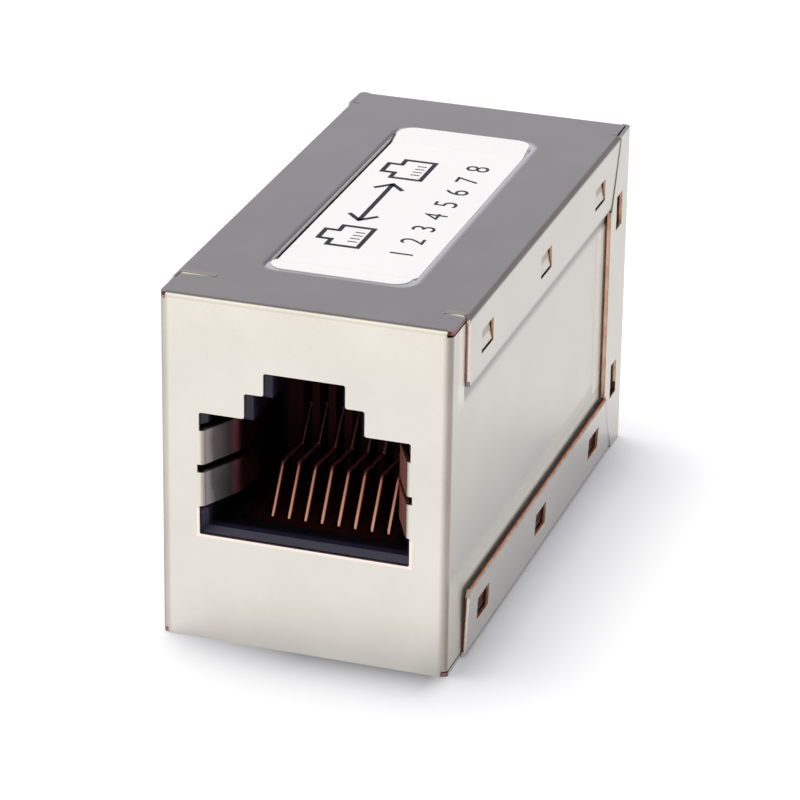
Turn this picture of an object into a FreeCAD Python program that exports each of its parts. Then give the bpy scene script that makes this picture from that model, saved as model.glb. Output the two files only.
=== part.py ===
import FreeCAD, Part
import math
import os

# Shielded feed-through coupler for two eight-contact modular plugs.
# Millimetres, +Z up. The front port faces -Y, the rear port faces +Y, and the
# origin is the middle of the footprint, on the surface that the coupler rests on.

Vector = FreeCAD.Vector

# Overall, over the folded sheet
length = 35.7                # front face to rear face
wall_width = 17.25           # over the two side walls, under the flaps
height = 21.3                # underside to top

# Shield sheet and its folds
sheet = 0.25                 # thickness of the plated sheet
bend_inside = 0.1            # inside radius of every fold
seam = 0.06                  # hairline between two edges that meet
wall_edge_gap = 0.1          # side wall edge to the sheet above or below it
corner_set_back = 0.1        # front face to the flat corners of the top and the underside

# Flaps that fold over the side walls
flap_gap = 0.05              # side wall to the inner face of a flap
flap_depth = 4.3             # how far top and bottom flaps reach along the side
top_flap_start = 2.35        # front face to the front edge of the top flap
bottom_flap_start = 2.7      # front face to the front edge of the bottom flap
bottom_flap_splay = 2.5      # degrees that the bottom flap springs open
rear_flap_depth = 4.35       # rear face to the front edge of the rear flap
rear_flap_splay = 1.0        # degrees that the rear flap springs open
slant_wide = 4.1             # rear face to the slanted seam, at the flap's free edge
slant_narrow = 2.3           # rear face to the slanted seam, at the fold
flap_clip = 0.45             # clipped lower corner at the front of a flap
flap_roll = 0.16             # rounding of a flap's free edge, on the outside

# Relief slits in the top and underside, beside the front ends of the flaps
relief_width = 0.16
right_relief_from_middle = 7.3   # middle to the inner end of the slit
left_relief_from_middle = 6.4
left_relief_set_back = 0.6   # how far the left slit lies behind the flap's front end
relief_lift = 0.08           # how far the sheet springs up behind a slit in the top
relief_ramp = 0.6            # length of the sprung sheet

# Windows in the flaps, and the wall bumps that snap into them
window_long = 2.2
window_short = 1.4
window_from_fold = 2.32      # top or underside to the middle of a window
window_front_margin = 3.25   # flap's front edge to the middle of the first window
window_rear_margin = 2.7     # flap's slanted end to the middle of the last window
windows_per_flap = 3
rear_window_from_rear = 2.3
rear_window_from_end = 4.93  # top or underside to the middle of a rear flap's window
bump_margin = 0.14           # bump edge to window edge
bump_height = 0.24
bump_toe = 0.04              # height of a bump at the thin end of its ramp

# Port outline in the shield
port_width = 12.6
port_bottom = 6.65           # underside of the coupler to the port's lower edge
port_height = 7.6
step_width = 7.15            # first step, where the plug's latch is widest
step_height = 1.55
notch_width = 4.85           # second step, for the latch lever
notch_height = 1.4
port_corner = 0.14

# Earthing fingers, folded in from both upright edges of a port
finger_from_bottom = 1.75    # port's lower edge to the lower finger
finger_height = 4.7          # both fingers and the slit between them
finger_slit = 0.5
finger_slit_bite = 0.12      # how far the slit cuts past the port's edge
finger_lean = 26.0           # degrees, first run
finger_lean_run = 2.5        # its reach into the port
finger_flat = 7.0            # degrees, second run
finger_flat_run = 2.5
finger_return = 30.0         # degrees back towards the wall, last run
finger_return_run = 1.4
finger_crease = 0.6          # inside radius between the runs

# Pressed panel that carries the label
panel_width = 8.62
panel_from_front = 6.35      # front face to the start of its side slits
panel_from_rear = 6.75
panel_slope = 1.0            # length of each sloped end
panel_lead = 1.3             # level run ahead of each sloped end
panel_press = 0.3
panel_slit = 0.08
label_width = 8.4
label_from_front = 5.3
label_from_rear = 5.57
label_corner = 1.0
label_thickness = 0.1

# Plastic jack housings
housing_gap = 0.1            # shield to housing
housing_edge = 0.3           # chamfer along the edges of the front
lip = 0.32                   # port edge in the shield to the plug cavity
lead_in = 0.4                # depth of the chamfer around the cavity
cavity_depth = 13.2          # front face to the back wall
latch_wall = 3.2             # front face to the locking shoulders
latch_room_width = 7.8       # space behind the shoulders
latch_room_rise = 0.9        # its height above the notch
pocket_depth = 8.0           # front face to the end of a finger pocket
pocket_side = 1.9            # depth of a pocket into the cavity's side
pocket_gap = 0.3             # pocket to finger, above and below
trough_width = 9.3           # opening in the cavity floor over the contacts
trough_from_front = 2.2
panel_channel_gap = 0.3      # around the pressed panel

# Contacts
contact_count = 8
contact_pitch = 1.016
contact_width = 0.34
contact_thickness = 0.25
contact_bend = 0.2
contact_level = 5.2          # height of the run below the floor
tail_level = 3.5             # height of the lower row of tails
tail_step_from_front = 14.2  # where the lower row drops, and the length of its slope
tail_step_run = 0.9
turn_from_front = 4.05       # front face to the contact's hairpin
crest_from_front = 6.4       # front face to its crest
crest_level = 8.8
even_lift = 0.1              # even contacts crest a little higher
dip_from_front = 9.75        # low end of the contact's long run
dip_level = 8.5
tip_from_front = 11.4
tip_level = 10.6

# Contact carriers
carrier_gap = 0.05           # carrier to housing
carrier_width = 9.6
carrier_bottom = 2.3
carrier_top = 6.4            # upper face of the base, seen through the floor
carrier_front = 3.0          # front face to the front of the base
comb_front = 10.7            # front face to the teeth of the comb
comb_top = 13.0
comb_slot_depth = 1.5
slot_gap = 0.1               # contact to each side of its slot
mouth_from_front = 5.6       # front face to the rear end of the slots' openings in the base
board_space = 1.4            # carrier to circuit board, room for solder

# Circuit board and solder
board_thickness = 1.6
board_side_gap = 0.75        # side wall to the board
board_bottom_gap = 0.95      # inside of the underside to the board
board_top_gap = 1.15         # board to the pressed panel above it
hole_diameter = 0.66
pin_reach = 0.8              # contact tail beyond the board
solder_diameter = 1.1
solder_tip_diameter = 0.5    # at the pin's end
ring_sides = 16              # flat sides of each pin hole and solder joint

# Worked out from the above
front = -length / 2
rear = length / 2
wall = wall_width / 2
bend_outside = bend_inside + sheet
core = wall - bend_outside               # half width of the strip between the folds
flap_face = wall + flap_gap + sheet      # outer face of a closed flap
flap_fold = flap_face - bend_outside     # where the fold to a flap starts
port_roof = port_bottom + port_height
step_roof = port_roof + step_height
notch_roof = step_roof + notch_height
finger_bottom = port_bottom + finger_from_bottom
finger_top = finger_bottom + finger_height
panel_start = front + panel_from_front
panel_end = rear - panel_from_rear
panel_level = height - panel_press       # upper face of the pressed panel
housing_half = wall - sheet - housing_gap
board_face = board_thickness / 2
slot_width = contact_width + 2 * slot_gap

# Planes to draw on: across, up and normal
plan = (Vector(1, 0, 0), Vector(0, 1, 0), Vector(0, 0, 1))
side = (Vector(0, 1, 0), Vector(0, 0, 1), Vector(1, 0, 0))
face = (Vector(1, 0, 0), Vector(0, 0, 1), Vector(0, 1, 0))


def closed_wire(corners, plane, level):
    """A closed outline on a plane, with each (across, up, radius) corner rounded."""
    across, up, normal = plane
    points = [across * a + up * b + normal * level for a, b, radius in corners]
    ends = []
    arcs = []
    for i, point in enumerate(points):
        back = (points[i - 1] - point).normalize()
        ahead = (points[(i + 1) % len(points)] - point).normalize()
        radius = corners[i][2]
        if radius <= 0:
            ends.append((point, point))
            arcs.append(None)
            continue
        half = back.getAngle(ahead) / 2
        start = point + back * (radius / math.tan(half))
        end = point + ahead * (radius / math.tan(half))
        middle = point + (back + ahead).normalize() * (radius / math.sin(half) - radius)
        ends.append((start, end))
        arcs.append(Part.Arc(start, middle, end).toShape())
    edges = []
    for i in range(len(points)):
        if arcs[i]:
            edges.append(arcs[i])
        start = ends[i][1]
        end = ends[(i + 1) % len(points)][0]
        if start.distanceToPoint(end) > 1e-6:
            edges.append(Part.LineSegment(start, end).toShape())
    return Part.Wire(edges)


def prism(corners, plane, low, high):
    """A solid between two levels of a plane, with the given outline."""
    return Part.Face(closed_wire(corners, plane, low)).extrude(plane[2] * (high - low))


def sharp(points):
    """Corners with no radius."""
    return [(a, b, 0) for a, b in points]


def block(x0, x1, y0, y1, z0, z1):
    """A box between two corners."""
    return Part.makeBox(x1 - x0, y1 - y0, z1 - z0, Vector(x0, y0, z0))


def strip(path, thickness, bends=0, roll=0):
    """The edge view of a bent strip, from its middle line and one inside radius or one a bend.
    Its far end may be rolled over on the left of the path."""
    points = [Vector(a, b, 0) for a, b in path]
    radii = bends if isinstance(bends, list) else [bends] * (len(path) - 2)
    left = []
    right = []
    for i, point in enumerate(points):
        into = (point - points[i - 1]).normalize() if i > 0 else None
        out = (points[i + 1] - point).normalize() if i < len(points) - 1 else None
        into = into or out
        out = out or into
        normals = Vector(-into.y, into.x, 0) + Vector(-out.y, out.x, 0)
        offset = normals * (thickness / 2 / (1 + into.dot(out)))
        turn = into.x * out.y - into.y * out.x
        bent = 0 < i < len(points) - 1 and radii[i - 1] > 0
        inner = radii[i - 1] if bent else 0
        outer = inner + thickness if bent else 0
        near, far = (inner, outer) if turn > 0 else (outer, inner)
        if i == len(points) - 1:
            near = roll
        left.append((point.x + offset.x, point.y + offset.y, near))
        right.append((point.x - offset.x, point.y - offset.y, far))
    return left + right[::-1]


def joined(shapes):
    """One solid from shapes that share faces or overlap."""
    return shapes[0].multiFuse(shapes[1:]).removeSplitter()


def mirrored(shape):
    """A copy on the other side of the middle."""
    return shape.mirror(Vector(0, 0, 0), Vector(1, 0, 0))


def both_sides(shape):
    """A shape and its mirror image."""
    return [shape, mirrored(shape)]


def turned(shape):
    """A copy turned half round, from the front port to the rear port."""
    copy = shape.copy()
    copy.rotate(Vector(0, 0, 0), Vector(0, 0, 1), 180)
    return copy


def flipped(shape):
    """A copy mirrored from the top half to the bottom half."""
    return shape.mirror(Vector(0, 0, height / 2), Vector(0, 0, 1))


def port_outline(inset, radius):
    """The stepped plug opening, drawn smaller by an inset all round."""
    right = [
        (port_width / 2 - inset, port_bottom + inset),
        (port_width / 2 - inset, port_roof - inset),
        (step_width / 2 - inset, port_roof - inset),
        (step_width / 2 - inset, step_roof - inset),
        (notch_width / 2 - inset, step_roof - inset),
        (notch_width / 2 - inset, notch_roof - inset),
    ]
    left = [(-a, b) for a, b in reversed(right)]
    return [(a, b, radius) for a, b in right + left]


# Shield

def wrap():
    """Front face, top, rear face and underside, one strip round the housings."""
    middle = sheet / 2
    path = [
        (front + middle, 0),
        (front + middle, height - middle),
        (rear - middle, height - middle),
        (rear - middle, middle),
        (front + sheet + seam, middle),
    ]
    return prism(strip(path, sheet, bend_inside), side, -core, core)


def side_wall():
    """Right side wall, folded back from the front face."""
    middle = sheet / 2
    path = [
        (core, front + middle),
        (wall - middle, front + middle),
        (wall - middle, rear - sheet - seam),
    ]
    edge = sheet + wall_edge_gap
    return prism(strip(path, sheet, bend_inside), plan, edge, height - edge)


def top_edge(flap_start, set_back):
    """Right edge of the top, ahead of and behind the flap."""
    corner = front + corner_set_back
    end = front + flap_start - seam
    ahead = [
        (core, corner, 0),
        (wall, corner, bend_outside - corner_set_back),
        (wall, end, 0),
        (core, end, 0),
    ]
    pieces = [
        prism(ahead, plan, height - sheet, height),
        block(core, wall, rear - slant_narrow + seam, rear - bend_outside, height - sheet, height),
    ]
    if set_back > 0:
        pieces.append(block(core, flap_fold - seam, end, end + set_back, height - sheet, height))
    return joined(pieces)


def relief_end(flap_start, set_back):
    """Rear side of the slit beside a flap."""
    return front + flap_start - seam + set_back + relief_width


def relief_slit(flap_start, set_back, inner_end):
    """Slit in the top beside the front end of the right flap."""
    y = relief_end(flap_start, set_back)
    return block(inner_end, flap_fold, y - relief_width, y, height - sheet, height)


def sprung_edge(flap_start, set_back, inner_end):
    """The top's own edge behind that slit, sprung up a little."""
    y = relief_end(flap_start, set_back)
    ramp = sharp([
        (y, height - sheet / 2),
        (y, height + relief_lift),
        (y + relief_ramp, height),
        (y + relief_ramp, height - sheet / 2),
    ])
    return prism(ramp, side, inner_end, flap_fold)


def long_flap(flap_start, set_back, splay):
    """Right flap of the top, folded down over the side wall."""
    middle = sheet / 2
    free_edge = height - flap_depth
    reach = flap_depth - middle
    path = [
        (core, height - middle),
        (flap_face - middle, height - middle),
        (flap_face - middle + reach * math.tan(math.radians(splay)), free_edge),
    ]
    start = front + flap_start
    folded = prism(strip(path, sheet, bend_inside, flap_roll), face, start, rear - slant_narrow)
    outline = [
        (start, height),
        (start, free_edge + flap_clip),
        (start + flap_clip / 2, free_edge),
        (rear - slant_wide, free_edge),
        (rear - slant_narrow, height),
    ]
    beyond = flap_face + flap_depth
    folded = folded.common(prism(sharp(outline), side, 0, beyond))
    ahead = block(0, flap_fold, start, relief_end(flap_start, set_back), height - sheet, height)
    return folded.cut(ahead)


def rear_flap():
    """Right flap of the rear face, folded forward over the side wall."""
    middle = sheet / 2
    reach = rear_flap_depth - middle
    path = [
        (core, rear - middle),
        (flap_face - middle, rear - middle),
        (flap_face - middle + reach * math.tan(math.radians(rear_flap_splay)), rear - rear_flap_depth),
    ]
    folded = prism(strip(path, sheet, bend_inside), plan, seam, height - seam)
    upper = [
        (rear - rear_flap_depth, height / 2),
        (rear - rear_flap_depth, height - flap_depth - seam),
        (rear - slant_wide + seam, height - flap_depth - seam),
        (rear - slant_narrow + seam, height),
        (rear, height),
        (rear, height / 2),
    ]
    beyond = flap_face + rear_flap_depth
    upper_half = prism(sharp(upper), side, 0, beyond)
    outline = upper_half.fuse(flipped(upper_half))
    relief = block(core, core + seam, rear - bend_outside, rear, height - bend_outside - seam, height)
    return folded.common(outline).cut(relief).cut(flipped(relief))


def window_places():
    """Middles of the windows along a top or bottom flap."""
    first = front + top_flap_start + window_front_margin
    last = rear - slant_wide - window_rear_margin
    pitch = (last - first) / (windows_per_flap - 1)
    return [first + i * pitch for i in range(windows_per_flap)]


def snap_bump(across, up):
    """Ramped bump on the right wall, thick end down, at the middle of an upright side."""
    low = -up / 2 + bump_margin
    high = up / 2 - bump_margin
    half = across / 2 - bump_margin
    ramp = sharp([
        (wall - sheet / 2, low),
        (wall + bump_height, low),
        (wall + bump_toe, high),
        (wall - sheet / 2, high),
    ])
    return prism(ramp, face, -half, half)


def window_hole(across, up):
    """A window through a flap on the right side, at the middle of an upright side."""
    inner = wall + flap_gap / 2
    return block(inner, flap_face + flap_depth, -across / 2, across / 2, -up / 2, up / 2)


def moved(shape, y, z):
    """A copy moved along the side."""
    copy = shape.copy()
    copy.translate(Vector(0, y, z))
    return copy


def windows_and_bumps():
    """All windows of the right side, and the bumps that show in them."""
    holes = []
    bumps = []
    for y in window_places():
        for shape, group in (
            (window_hole(window_long, window_short), holes),
            (snap_bump(window_long, window_short), bumps),
        ):
            upper = moved(shape, y, height - window_from_fold)
            group += [upper, flipped(upper)]
    upright = snap_bump(window_long, window_short)
    upright.rotate(Vector(0, 0, 0), Vector(1, 0, 0), -90)
    for shape, group in ((window_hole(window_short, window_long), holes), (upright, bumps)):
        upper = moved(shape, rear - rear_window_from_rear, height - rear_window_from_end)
        group += [upper, flipped(upper)]
    return holes, bumps


def panel_path(rise):
    """Middle line of the pressed panel, or of a layer that lies on it."""
    level = height - sheet / 2
    low = level - panel_press
    angle = math.atan2(panel_press, panel_slope)
    shift = rise * math.tan(angle / 2)
    return [
        (panel_start - panel_lead, level + rise),
        (panel_start + shift, level + rise),
        (panel_start + panel_slope + shift, low + rise),
        (panel_end - panel_slope - shift, low + rise),
        (panel_end - shift, level + rise),
        (panel_end + panel_lead, level + rise),
    ]


def pressed_panel():
    """Strip of the top between two slits, pressed down for the label."""
    half = panel_width / 2
    return prism(strip(panel_path(0), sheet), side, -half, half)


def port_fingers():
    """The two earthing fingers on the right edge of the front port."""
    middle = sheet / 2
    turn = math.radians(90 - finger_lean)
    tangent = (bend_inside + middle) * math.tan(turn / 2)
    x = port_width / 2 - tangent
    y = front + middle
    path = [(port_width / 2 + sheet, y), (x, y)]
    for run, lean in (
        (finger_lean_run, finger_lean),
        (finger_flat_run, finger_flat),
        (finger_return_run, -finger_return),
    ):
        x -= run * math.tan(math.radians(lean))
        y += run
        path.append((x, y))
    bends = [bend_inside, finger_crease, finger_crease]
    fingers = prism(strip(path, sheet, bends), plan, finger_bottom, finger_top)
    middle_z = (finger_bottom + finger_top) / 2
    slit = block(0, port_width / 2 + finger_slit_bite, front, 0,
                 middle_z - finger_slit / 2, middle_z + finger_slit / 2)
    return fingers, slit


def shield():
    """The whole folded sheet."""
    right = (top_flap_start, 0)
    left = (top_flap_start, left_relief_set_back)
    under = (bottom_flap_start, 0)
    pieces = [wrap(), top_edge(*right), mirrored(top_edge(*left))]
    pieces += [long_flap(*right, 0), mirrored(long_flap(*left, 0))]
    lower = [flipped(top_edge(*under)), flipped(long_flap(*under, bottom_flap_splay))]
    for piece in [side_wall(), rear_flap()] + lower:
        pieces += both_sides(piece)
    body = joined(pieces)

    holes, bumps = windows_and_bumps()
    fingers, finger_gap = port_fingers()
    panel_half = panel_width / 2
    opening = prism(port_outline(0, port_corner), face, front, front + bend_outside + sheet)
    cuts = [
        opening,
        turned(opening),
        relief_slit(*right, right_relief_from_middle),
        mirrored(relief_slit(*left, left_relief_from_middle)),
        block(-panel_half - panel_slit, panel_half + panel_slit, panel_start, panel_end,
              height - sheet, height),
    ]
    for hole in holes + [flipped(relief_slit(*under, right_relief_from_middle))]:
        cuts += both_sides(hole)
    body = body.cut(cuts)

    adds = [
        pressed_panel(),
        sprung_edge(*right, right_relief_from_middle),
        mirrored(sprung_edge(*left, left_relief_from_middle)),
    ]
    for piece in bumps + [fingers, turned(fingers)]:
        adds += both_sides(piece)
    return joined([body] + adds).cut(both_sides(finger_gap) + both_sides(turned(finger_gap)))


def label():
    """Thin label on the pressed panel, over both sloped ends."""
    rise = sheet / 2 + label_thickness / 2
    half = label_width / 2
    layer = prism(strip(panel_path(rise), label_thickness), side, -half, half)
    start = front + label_from_front
    end = rear - label_from_rear
    outline = [(a, b, label_corner) for a, b in ((-half, start), (half, start), (half, end), (-half, end))]
    return layer.common(prism(outline, plan, height - sheet - panel_press, height + sheet))


# Housings, carriers, board

def housing():
    """Front jack housing, one moulding."""
    y0 = front + sheet + housing_gap / 2
    bottom = sheet + housing_gap
    top = height - sheet - housing_gap
    half = housing_half
    body = block(-half, half, y0, -board_face, bottom, top)
    rim = [edge for edge in body.Edges if edge.BoundBox.YMax < y0 + housing_gap / 2]
    body = body.makeChamfer(housing_edge, rim)

    mouth = closed_wire(port_outline(0, 0), face, y0)
    throat = closed_wire(port_outline(lip, 0), face, y0 + lead_in)
    back = front + cavity_depth
    pocket_inner = port_width / 2 - lip - sheet
    pocket = block(pocket_inner, port_width / 2 - lip + pocket_side, y0, front + pocket_depth,
                   finger_bottom - pocket_gap, finger_top + pocket_gap)
    tunnel = carrier_width / 2 + carrier_gap
    channel = panel_width / 2 + panel_channel_gap
    shelf = port_bottom + lip
    cuts = [
        Part.makeLoft([mouth, throat], True, True),
        prism(port_outline(lip, 0), face, y0 + lead_in, back),
        block(-latch_room_width / 2, latch_room_width / 2, front + latch_wall, back,
              port_roof - lip, notch_roof - lip + latch_room_rise),
        block(-trough_width / 2, trough_width / 2, front + trough_from_front, front + comb_front,
              carrier_top, shelf),
        block(-tunnel, tunnel, front + carrier_front - carrier_gap, -board_face,
              carrier_bottom - carrier_gap, carrier_top + carrier_gap),
        block(-tunnel, tunnel, front + comb_front - carrier_gap, -board_face,
              carrier_bottom, comb_top + carrier_gap),
        block(-channel, channel, panel_start - panel_channel_gap, -board_face,
              panel_level - sheet - housing_gap, top),
    ]
    return body.cut(cuts + both_sides(pocket)).removeSplitter()


def contact_x(number):
    """Place across the port of a contact, numbered from the left."""
    return (number - (contact_count + 1) / 2) * contact_pitch


def tail_height(number):
    """Odd contacts end in the upper row of the board, even ones in the lower."""
    return contact_level if number % 2 else tail_level


def hairpin_front():
    """Front face to the round front of a contact's hairpin."""
    rise = math.atan2(crest_level - contact_level, crest_from_front - turn_from_front)
    tangent = (contact_bend + contact_thickness / 2) / math.tan(rise / 2)
    return turn_from_front + tangent - contact_bend - contact_thickness


def contact(number):
    """One sprung contact, from its solder tail to its tip in the comb."""
    lift = 0 if number % 2 else even_lift
    step = front + tail_step_from_front
    path = [(board_face + pin_reach, tail_height(number))]
    if tail_height(number) != contact_level:
        path += [(step + tail_step_run, tail_level), (step, contact_level)]
    path += [
        (front + turn_from_front, contact_level),
        (front + crest_from_front, crest_level + lift),
        (front + dip_from_front, dip_level + lift),
        (front + tip_from_front, tip_level + lift),
    ]
    x = contact_x(number)
    half = contact_width / 2
    return prism(strip(path, contact_thickness, contact_bend), side, x - half, x + half)


def carrier():
    """Front contact carrier: a slotted base under the floor and an upright comb."""
    half = carrier_width / 2
    base_front = front + carrier_front
    teeth = front + comb_front
    back = -board_face - board_space
    outline = [
        (base_front, carrier_bottom),
        (back, carrier_bottom),
        (back, comb_top),
        (teeth, comb_top),
        (teeth, carrier_top),
        (base_front, carrier_top),
    ]
    body = prism(sharp(outline), side, -half, half)
    ceiling = contact_level + contact_thickness / 2 + slot_gap
    start = front + hairpin_front() - slot_gap
    cuts = []
    for number in range(1, contact_count + 1):
        x0 = contact_x(number) - slot_width / 2
        x1 = x0 + slot_width
        cuts.append(block(x0, x1, start, back, carrier_bottom, ceiling))
        cuts.append(block(x0, x1, start, front + mouth_from_front, ceiling, carrier_top))
        cuts.append(block(x0, x1, teeth, teeth + comb_slot_depth, carrier_top,
                          tip_level + even_lift + comb_slot_depth))
    return body.cut(cuts)


def pin_places():
    """Every hole of the board: its place across and its height."""
    places = []
    for number in range(1, contact_count + 1):
        places.append((contact_x(number), tail_height(number)))
        places.append((-contact_x(number), tail_height(number)))
    return places


def ring(diameter, x, y, z):
    """A small many-sided ring round a pin."""
    points = []
    for i in range(ring_sides + 1):
        turn = 2 * math.pi * i / ring_sides
        points.append(Vector(x + diameter / 2 * math.cos(turn), y, z + diameter / 2 * math.sin(turn)))
    return Part.makePolygon(points)


def board():
    """Circuit board between the housings, with a hole for each tail."""
    half = wall - sheet - board_side_gap
    bottom = sheet + board_bottom_gap
    top = panel_level - sheet - board_top_gap
    body = block(-half, half, -board_face, board_face, bottom, top)
    through = Vector(0, board_thickness, 0)
    holes = [Part.Face(ring(hole_diameter, x, -board_face, z)).extrude(through) for x, z in pin_places()]
    return body.cut(holes)


def solder_joint(number):
    """Cone of solder round a front contact's tail, on the rear of the board."""
    x = contact_x(number)
    z = tail_height(number)
    foot = ring(solder_diameter, x, board_face, z)
    top = ring(solder_tip_diameter, x, board_face + pin_reach, z)
    cone = Part.makeLoft([foot, top], True, True)
    pin = contact_width / 2
    thick = contact_thickness / 2
    return cone.cut(block(x - pin, x + pin, 0, board_face + pin_reach, z - thick, z + thick))


def write(name, shape):
    """Save one node."""
    shape.exportStep("parts/" + name + ".step")
    print(name, len(shape.Solids), "solids", round(shape.Volume, 3), "mm3", shape.isValid())


os.makedirs("parts", exist_ok=True)
numbers = range(1, contact_count + 1)
write("shield", shield())
write("label", label())
write("circuit_board", board())
write("front_housing", housing())
write("rear_housing", turned(housing()))
write("front_carrier", carrier())
write("rear_carrier", turned(carrier()))
for number in numbers:
    write("front_contact_%d" % number, contact(number))
    write("rear_contact_%d" % number, turned(contact(number)))
joints = Part.makeCompound([solder_joint(number) for number in numbers])
write("front_solder", joints)
write("rear_solder", turned(joints))
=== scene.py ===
import math

import bmesh
import bpy
from mathutils import Matrix, Vector


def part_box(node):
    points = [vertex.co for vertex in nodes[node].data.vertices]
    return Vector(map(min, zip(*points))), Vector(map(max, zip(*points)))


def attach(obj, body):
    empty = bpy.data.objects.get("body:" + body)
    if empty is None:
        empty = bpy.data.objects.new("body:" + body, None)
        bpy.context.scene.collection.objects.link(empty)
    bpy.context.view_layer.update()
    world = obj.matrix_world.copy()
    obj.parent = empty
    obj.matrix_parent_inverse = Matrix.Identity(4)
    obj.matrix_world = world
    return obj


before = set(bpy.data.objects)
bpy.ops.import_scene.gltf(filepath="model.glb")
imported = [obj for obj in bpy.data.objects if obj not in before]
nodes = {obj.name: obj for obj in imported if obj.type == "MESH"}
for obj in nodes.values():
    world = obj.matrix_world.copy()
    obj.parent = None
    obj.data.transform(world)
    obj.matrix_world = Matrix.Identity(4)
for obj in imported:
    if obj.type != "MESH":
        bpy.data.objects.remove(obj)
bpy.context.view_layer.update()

mm = 0.001
shieldLow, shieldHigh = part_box("shield")


# Shader maths

class Wire:  # a socket that can stand in sums
    def __init__(self, finish, socket):
        self.finish = finish
        self.socket = socket

    def math(self, operation, first, second):
        return self.finish.math(operation, first, second)

    def __add__(self, other):
        return self.math("ADD", self, other)

    def __radd__(self, other):
        return self.math("ADD", other, self)

    def __sub__(self, other):
        return self.math("SUBTRACT", self, other)

    def __rsub__(self, other):
        return self.math("SUBTRACT", other, self)

    def __mul__(self, other):
        return self.math("MULTIPLY", self, other)

    def __rmul__(self, other):
        return self.math("MULTIPLY", other, self)

    def __abs__(self):
        return self.math("ABSOLUTE", self, 0.0)

    def __or__(self, other):  # the larger of two masks
        return self.math("MAXIMUM", self, other)


class Finish:  # a node tree, for a material or the world
    def __init__(self, owner):
        owner.use_nodes = True
        self.owner = owner
        self.tree = owner.node_tree
        self.tree.nodes.clear()

    def node(self, kind, settings, sockets, output=0):
        made = self.tree.nodes.new(kind)
        for name, value in settings.items():
            if name == "stops":
                setStops(made.color_ramp, value)
            else:
                setattr(made, name, value)
        for name, value in sockets.items():
            if isinstance(value, Wire):
                self.tree.links.new(value.socket, made.inputs[name])
            else:
                made.inputs[name].default_value = value
        return Wire(self, made.outputs[output] if made.outputs else None)

    def math(self, operation, first, second):
        return self.node("ShaderNodeMath", {"operation": operation}, {0: first, 1: second})

    def place(self, stretch):  # the object's own coordinates, in metres
        spot = self.node("ShaderNodeTexCoord", {}, {}, "Object")
        return self.node("ShaderNodeMapping", {}, {"Vector": spot, "Scale": stretch})

    def axes(self, kind="Object"):  # position or surface direction as three values
        spot = self.node("ShaderNodeTexCoord", {}, {}, kind)
        return [self.node("ShaderNodeSeparateXYZ", {}, {"Vector": spot}, axis) for axis in "XYZ"]

    def noise(self, size, detail, stretch=(1, 1, 1)):  # size of its blotches in metres
        sockets = {"Vector": self.place(stretch), "Scale": 1 / size, "Detail": detail}
        return self.node("ShaderNodeTexNoise", {}, sockets)

    def between(self, value, low, high):  # 0 at low, 1 at high, whichever is the larger
        sockets = {"Value": value, "From Min": low, "From Max": high}
        return self.node("ShaderNodeMapRange", {}, sockets)

    def fade(self, value, low, high):  # the same with soft ends
        sockets = {"Value": value, "From Min": low, "From Max": high}
        return self.node("ShaderNodeMapRange", {"interpolation_type": "SMOOTHSTEP"}, sockets)

    def blend(self, factor, first, second):
        sockets = {0: factor, 6: first, 7: second}
        return self.node("ShaderNodeMix", {"data_type": "RGBA"}, sockets, 2)

    def tones(self, value, stops):  # each colour is full at its own value
        (place, shown), *others = stops
        for nextPlace, tint in others:
            shown = self.blend(self.between(value, place, nextPlace), shown, tint)
            place = nextPlace
        return shown

    def around(self, name, outset, corner, width):
        # 1 over a node seen from above, its corners rounded, and 0 a width outside it
        low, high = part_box(name)
        squares = 0.0
        for value, first, last, extra in zip(self.axes(), low, high, outset):
            straight = (last - first) / 2 + extra - corner
            beyond = abs(value - (first + last) / 2) - straight | 0.0
            squares = beyond * beyond + squares
        return self.between(self.math("POWER", squares, 0.5), corner + width, corner)

    def bump(self, height, depth):
        sockets = {"Height": height, "Distance": depth, "Strength": 1.0}
        return self.node("ShaderNodeBump", {}, sockets)

    def surface(self, sockets):
        shader = self.node("ShaderNodeBsdfPrincipled", {}, sockets)
        self.node("ShaderNodeOutputMaterial", {}, {"Surface": shader})
        return self.owner


def setStops(ramp, stops):
    while len(ramp.elements) < len(stops):
        ramp.elements.new(1.0)
    for element, (position, tint) in zip(ramp.elements, stops):
        element.position = position
        element.color = tint


def colour(red, green, blue):
    return (red, green, blue, 1.0)


def newFinish(name):
    return Finish(bpy.data.materials.new(name))


# Places on the shield

shieldForm = {
    "sheet": 0.25 * mm,
    "flapGap": 0.05 * mm,      # between a flap and the wall
    "offWall": 0.06 * mm,      # a face farther out than this is part of a flap
    "lean": 0.19 * mm,         # how far the free edges of the lower flaps stand out
    "lowRim": 4.4 * mm,        # height of those edges
    "rearRimHalf": 6.6 * mm,   # how far the rear flap's front edge runs up and down from the middle
    "wallStart": 2 * mm,       # ahead of this there are no flaps
    "endZone": 0.5 * mm,       # folds at both ends lie within this
    "flatZone": 0.6 * mm,      # top and underside with their folds and the pressed panel
    "fold": 0.37 * mm,         # outside radius of a fold, and a little more
    "edgeZone": 0.34 * mm,     # the sheet's own thickness below the raised edges
    "slitZone": 4 * mm,        # relief slits lie within this of the front
    "fingerReach": 6.3 * mm,   # port fingers are nearer the middle than this
}
shieldPoints = [vertex.co for vertex in nodes["shield"].data.vertices]
wallHalf = max(abs(point.x) for point in shieldPoints
               if point.y < shieldLow.y + shieldForm["wallStart"])
flapHalf = wallHalf + shieldForm["flapGap"] + shieldForm["sheet"]
flapPoints = [point for point in shieldPoints if point.x > wallHalf + shieldForm["flapGap"] / 2]
middleHeight = (shieldLow.z + shieldHigh.z) / 2
flapStart = min(point.y for point in flapPoints)
lowRim = shieldForm["lowRim"]
topRim = min(point.z for point in flapPoints if point.y < 0 and point.z > middleHeight)
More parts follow.
